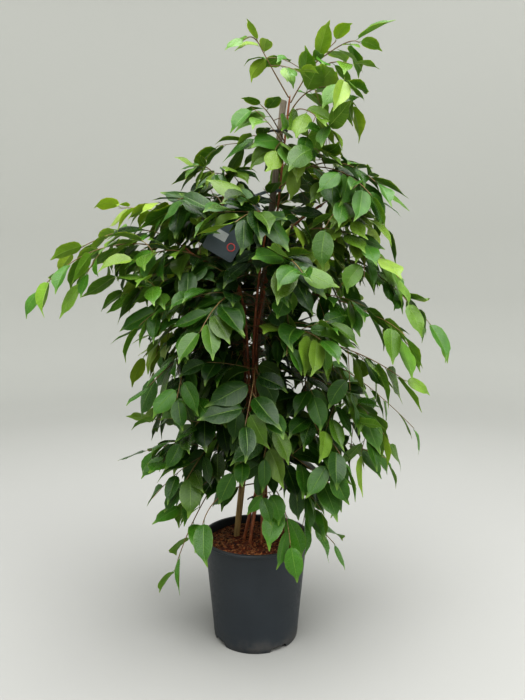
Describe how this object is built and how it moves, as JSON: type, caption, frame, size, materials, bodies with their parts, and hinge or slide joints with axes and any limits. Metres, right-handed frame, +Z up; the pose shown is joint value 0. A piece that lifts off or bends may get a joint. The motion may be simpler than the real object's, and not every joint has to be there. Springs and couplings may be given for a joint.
{
  "type": "potted weeping fig",
  "caption": "Bushy weeping fig with arching leafy twigs on stems tied to a split cane, rooted in a tapered round nursery pot.",
  "frame": {"origin": "centre of the pot's underside, on the surface that it stands on", "axes": "+Z up along the pot's axis, +X towards the right of the picture, -Y towards the camera of the picture"},
  "size_m": [0.7572, 0.5151, 1.1263],
  "materials": {
    "pot": "matt, slate black",
    "soil": "crumbly, reddish brown",
    "cane": "dry, grey brown",
    "bark": "satin, reddish brown",
    "tie": "satin, black",
    "tag": "satin, dark slate",
    "leaves": "glossy, dark green",
    "young_leaves": "glossy, yellow green"
  },
  "bodies": {
    "root": {"pot": "pot", "soil": "soil", "stake": "cane", "stem_leader": "bark", "stem_right": "bark", "stem_front": "bark", "stem_left_low": "bark", "stem_left_high": "bark", "stem_back": "bark", "tie_low": "tie", "tie_mid": "tie", "tie_top": "tie", "tag": "tag", "spray_top_left": "young_leaves", "spray_top_right": "young_leaves", "spray_crown_right": "young_leaves", "spray_crown_front": "young_leaves", "spray_crown_left": "leaves", "spray_crown_low_left": "leaves", "spray_crown_centre": "leaves", "spray_crown_back": "leaves", "spray_shoulder_right": "leaves", "spray_left_top": "young_leaves", "spray_left_big": "leaves", "spray_left_back_high": "leaves", "spray_left_arch": "young_leaves", "spray_left_reach": "young_leaves", "spray_left_long": "leaves", "spray_left_bright": "leaves", "spray_left_mid_back": "leaves", "spray_left_mid": "leaves", "spray_left_hang": "leaves", "spray_left_olive": "young_leaves", "spray_left_lower_front": "leaves", "spray_left_lower": "leaves", "spray_low_left_hook": "leaves", "spray_low_left": "leaves", "spray_pot_left": "leaves", "spray_pot_front_left": "leaves", "spray_pot_front_right": "leaves", "spray_pot_right": "leaves", "spray_right_upper": "young_leaves", "spray_right_arch": "young_leaves", "spray_right_long": "young_leaves", "spray_right_mid": "leaves", "spray_right_pale": "young_leaves", "spray_right_low_long": "leaves", "spray_right_back_long": "leaves", "spray_right_hang": "leaves", "spray_low_right": "leaves", "spray_low_right_front": "leaves", "spray_front_high": "leaves", "spray_front_mid": "leaves", "spray_front_left": "leaves", "spray_front_low": "young_leaves", "spray_back_high": "leaves", "spray_back_right": "leaves", "spray_back_left": "leaves", "spray_back_mid": "leaves", "spray_back_low": "leaves"}
  },
  "joints": []
}
